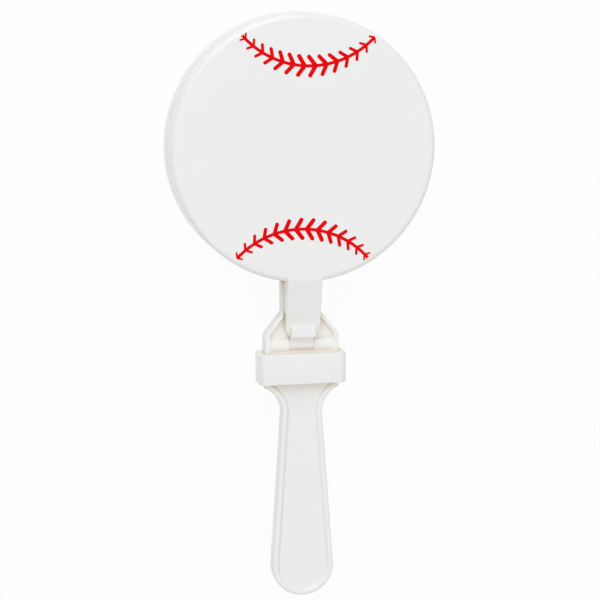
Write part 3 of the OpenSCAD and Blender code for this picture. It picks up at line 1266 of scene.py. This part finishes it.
@dataclass(frozen=True)
class SweepPaper:
    """White matt paper, rolled out under the clapper."""

    # An even white with a faint fibre. Where it is looked at it is nearly plain white, and keeps a
    # small share of the clapper's shadow.
    light: str = "#F0F0F0"
    deep: str = "#ECECEC"
    fibre_mm: float = 2.5
    shadow: float = 0.05

    def material(self) -> bpy.types.Material:
        """Builds the material.

        Returns:
            The material of the floor.
        """
        made = bpy.data.materials.new("white_paper_sweep")
        tree = emptied_tree(made)
        place = add(tree, "ShaderNodeTexCoord").outputs["Object"]
        fibre = add(tree, "ShaderNodeTexNoise", {"Vector": place, "Scale": 1 / (self.fibre_mm * MM)})
        tint = add(tree, "ShaderNodeMix", {0: fibre.outputs["Fac"], 6: linear(self.deep),
                                           7: linear(self.light)}, data_type="RGBA")
        sheet = add(tree, "ShaderNodeBsdfDiffuse", {"Color": tint.outputs[2]})
        white = add(tree, "ShaderNodeEmission", {"Strength": 1.0})
        share = add(tree, "ShaderNodeMath", {0: background_rays(tree), 1: 1.0 - self.shadow},
                    operation="MULTIPLY")
        mixed = add(tree, "ShaderNodeMixShader", {0: share.outputs[0], 1: sheet.outputs[0],
                                                  2: white.outputs[0]})
        add(tree, "ShaderNodeOutputMaterial", {"Surface": mixed.outputs[0]})
        return made


@dataclass(frozen=True)
class SoftBox:
    """Square lamp with a soft front, its power in watts."""

    name: str
    at: tuple[float, float, float]
    side: float
    power: float


@dataclass
class Studio:
    """White sweep, soft lamps and the camera at the photograph's angle."""

    camera_at: tuple[float, float, float] = (-160.53, 76.271, 777.574)
    # The camera's turns in radians.
    yaw: float = -0.205942
    pitch: float = -0.166131
    roll: float = -0.005371
    focal_px: float = 2212.28
    frame_px: float = 600.0
    sensor: float = 36.0
    near: float = 10.0
    far: float = 20000.0
    # The lamps are a little cooler than the room, so shadows come out creamy and open faces neutral.
    sky: float = 0.49
    sky_tone: str = "#FCF9F4"
    lamp_tone: str = "#E5EFFF"
    lamps: tuple[SoftBox, ...] = (SoftBox("soft_box_key", (-420.0, 1300.0, 1060.0), 1350.0, 13.8),
                                  SoftBox("soft_box_front", (100.0, -300.0, 1600.0), 2800.0, 14.4))
    lamps_aim: tuple[float, float, float] = (0.0, -50.0, 10.0)
    floor_half: float = 3000.0
    floor_drop: float = 0.06

    def camera(self) -> None:
        """Sets the camera up."""
        data = bpy.data.cameras.new("camera")
        data.sensor_fit = "HORIZONTAL"
        data.sensor_width = self.sensor
        data.lens = self.focal_px / self.frame_px * self.sensor
        data.clip_start = self.near * MM
        data.clip_end = self.far * MM
        turn = (Matrix.Rotation(self.yaw, 4, "Y") @ Matrix.Rotation(self.pitch, 4, "X")
                @ Matrix.Rotation(self.roll, 4, "Z"))
        made = linked("camera", data)
        made.matrix_world = Matrix.Translation(Vector(self.camera_at) * MM) @ turn
        bpy.context.scene.camera = made

    def lamp(self, box: SoftBox) -> None:
        """Hangs one soft box that looks at the clapper.

        Args:
            box: The lamp.
        """
        data = bpy.data.lights.new(box.name, "AREA")
        data.size = box.side * MM
        data.energy = box.power
        data.color = linear(self.lamp_tone)[:3]
        made = linked(box.name, data)
        made.location = Vector(box.at) * MM
        made.rotation_mode = "QUATERNION"
        made.rotation_quaternion = (Vector(self.lamps_aim) - Vector(box.at)).to_track_quat("-Z", "Y")

    def world(self) -> None:
        """Fills the room with even light, and shows it white."""
        made = bpy.data.worlds.new("white_room")
        tree = emptied_tree(made)
        light = add(tree, "ShaderNodeBackground", {"Color": linear(self.sky_tone), "Strength": self.sky})
        shown = add(tree, "ShaderNodeBackground", {"Color": linear("#FFFFFF"), "Strength": 1.0})
        room = add(tree, "ShaderNodeMixShader", {0: background_rays(tree), 1: light.outputs[0],
                                                 2: shown.outputs[0]})
        add(tree, "ShaderNodeOutputWorld", {"Surface": room.outputs[0]})
        bpy.context.scene.world = made

    def floor(self) -> None:
        """Lays the paper just under the rear paddle's print."""
        bm = bmesh.new()
        bmesh.ops.create_grid(bm, x_segments=8, y_segments=8, size=self.floor_half * MM)
        bmesh.ops.translate(bm, verts=bm.verts, vec=(0, 0, -self.floor_drop * MM))
        mesh = bpy.data.meshes.new("floor")
        bm.to_mesh(mesh)
        bm.free()
        mesh.materials.append(SweepPaper().material())
        linked("floor", mesh)

    def build(self) -> None:
        """Sets up the camera, the room, the floor and the lamps."""
        self.camera()
        self.world()
        self.floor()
        for box in self.lamps:
            self.lamp(box)
        bpy.context.scene.view_settings.view_transform = "Standard"


def main() -> None:
    """Builds the clapper and its studio."""
    logging.basicConfig(level=logging.INFO, format="%(name)s: %(message)s")
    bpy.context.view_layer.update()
    plastic = MouldedPolystyrene().material()
    red = PadPrintInk().material()
    layout = Layout()
    Studio().build()
    for part in (RearPaddle(layout), FrontPaddle(layout), Collar(layout), Grip(layout), EjectorMarks(layout)):
        part.build(plastic)
    SeamPrint(layout).build(red)


if __name__ == "__main__":
    main()
